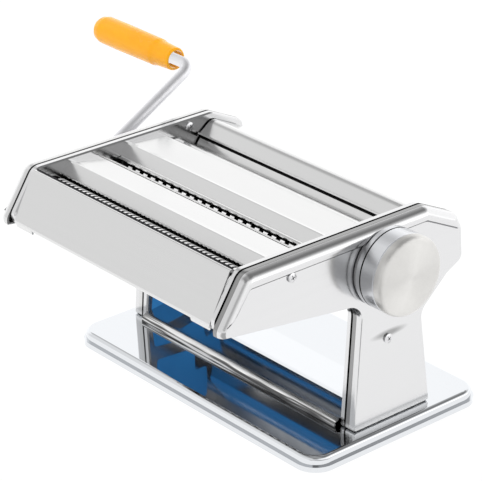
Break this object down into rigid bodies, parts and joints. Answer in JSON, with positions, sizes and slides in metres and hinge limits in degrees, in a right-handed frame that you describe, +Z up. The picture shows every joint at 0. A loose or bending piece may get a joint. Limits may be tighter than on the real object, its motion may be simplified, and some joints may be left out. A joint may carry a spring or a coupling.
{
  "type": "pasta machine",
  "caption": "Hand cranked pasta machine of polished sheet steel: smooth rollers with a setting knob, wide and narrow cutters, crank with a turning grip.",
  "frame": {"origin": "centre of the flat underside of the base", "axes": "+X along the rollers towards the setting knob, -Y towards the cutter arm at the front, +Z up"},
  "size_m": [0.3022, 0.1784, 0.1517],
  "materials": {
    "base_sheet": "mirror polished pressed sheet",
    "mat_rubber": "matt moulded",
    "zinc_steel": "zinc plated",
    "screw_steel": "bright plated",
    "polished_sheet": "mirror polished sheet with fine hairlines",
    "black_nylon": "moulded",
    "bearing_bronze": "sintered, oiled",
    "knob_metal": "polished, turned",
    "knob_face": "satin, domed",
    "roller_steel": "ground",
    "gear_steel": "machined",
    "cutter_steel": "turned",
    "crank_steel": "bright plated",
    "grip_plastic": "glossy moulded"
  },
  "bodies": {
    "root": {"base_tray": "base_sheet", "base_mat": "mat_rubber", "foot_brackets": "zinc_steel", "base_screws": "screw_steel", "base_nuts": "screw_steel", "inner_side_left": "polished_sheet", "inner_side_right": "polished_sheet", "outer_cover_left": "polished_sheet", "outer_cover_right": "polished_sheet", "front_panel": "polished_sheet", "front_divider": "polished_sheet", "middle_divider": "polished_sheet", "rear_cover": "polished_sheet", "deflector_plate": "polished_sheet", "slide_plate": "polished_sheet", "tie_rods": "zinc_steel", "leg_posts": "zinc_steel", "cover_screws": "screw_steel", "tie_rod_screws": "screw_steel", "wall_screws": "screw_steel", "cutter_bearing_left": "black_nylon", "cutter_bearing_right": "black_nylon", "roller_bushes": "black_nylon", "axle_bracket": "zinc_steel", "smooth_scrapers": "zinc_steel", "index_ring": "black_nylon", "cover_lugs": "zinc_steel", "wide_combs": "black_nylon", "narrow_combs": "black_nylon"},
    "knob_axle": {"eccentric_axle": "zinc_steel", "axle_clip": "zinc_steel"},
    "knob": {"knob_body": "knob_metal", "knob_cap": "knob_face", "index_pin": "zinc_steel", "knob_spring": "zinc_steel"},
    "carrier": {"floating_sleeve": "bearing_bronze"},
    "smooth_front": {"smooth_roller_front": "roller_steel", "smooth_gear_front": "gear_steel"},
    "smooth_rear": {"smooth_roller_rear": "roller_steel", "smooth_gear_rear": "gear_steel"},
    "wide_front": {"wide_roller_front": "cutter_steel", "wide_gear_front": "gear_steel"},
    "wide_rear": {"wide_roller_rear": "cutter_steel", "wide_gear_rear": "gear_steel"},
    "narrow_front": {"narrow_roller_front": "cutter_steel", "narrow_gear_front": "gear_steel"},
    "narrow_rear": {"narrow_roller_rear": "cutter_steel", "narrow_gear_rear": "gear_steel"},
    "crank": {"crank_rod": "crank_steel", "crank_pin": "zinc_steel", "grip_collar": "zinc_steel", "grip_clip": "zinc_steel"},
    "grip": {"grip": "grip_plastic"}
  },
  "joints": [
    {"name": "wide_rear_spin", "type": "hinge", "parent": "root", "child": "wide_rear", "pos_m": [0, -0.0356, 0.1065], "axis": [1, 0, 0], "continuous": true},
    {"name": "wide_front_spin", "type": "hinge", "parent": "root", "child": "wide_front", "pos_m": [0, -0.0522, 0.1065], "axis": [1, 0, 0], "continuous": true},
    {"name": "narrow_rear_spin", "type": "hinge", "parent": "root", "child": "narrow_rear", "pos_m": [0, -0.0706, 0.1065], "axis": [1, 0, 0], "continuous": true},
    {"name": "narrow_front_spin", "type": "hinge", "parent": "root", "child": "narrow_front", "pos_m": [0, -0.0872, 0.1065], "axis": [1, 0, 0], "continuous": true},
    {"name": "smooth_rear_spin", "type": "hinge", "parent": "root", "child": "smooth_rear", "pos_m": [0, 0.0249, 0.1005], "axis": [1, 0, 0], "continuous": true},
    {"name": "knob_turn", "type": "hinge", "parent": "root", "child": "knob_axle", "pos_m": [0, -0.0064, 0.1005], "axis": [1, 0, 0], "range_deg": [-170, 0]},
    {"name": "knob_pull", "type": "slide", "parent": "knob_axle", "child": "knob", "axis": [1, 0, 0], "range_m": [0, 0.005], "stiffness_N_per_m": 400, "springref_m": -0.005},
    {"name": "carrier_turn", "type": "hinge", "parent": "knob_axle", "child": "carrier", "pos_m": [0, -0.0053, 0.1005], "axis": [1, 0, 0], "range_deg": [-5, 175]},
    {"name": "smooth_front_spin", "type": "hinge", "parent": "carrier", "child": "smooth_front", "pos_m": [0, -0.0053, 0.1005], "axis": [1, 0, 0], "continuous": true},
    {"name": "crank_pull", "type": "slide", "parent": "wide_rear", "child": "crank", "axis": [-1, 0, 0], "range_m": [0, 0.03]},
    {"name": "grip_spin", "type": "hinge", "parent": "crank", "child": "grip", "pos_m": [0, 0.02918, 0.1433], "axis": [1, 0, 0], "continuous": true}
  ],
  "couplings": [
    {"joint": "wide_front_spin", "follows": "wide_rear_spin", "ratio": -1},
    {"joint": "narrow_front_spin", "follows": "narrow_rear_spin", "ratio": -1},
    {"joint": "smooth_front_spin", "follows": "smooth_rear_spin", "ratio": -1},
    {"joint": "carrier_turn", "follows": "knob_turn", "ratio": -1}
  ]
}
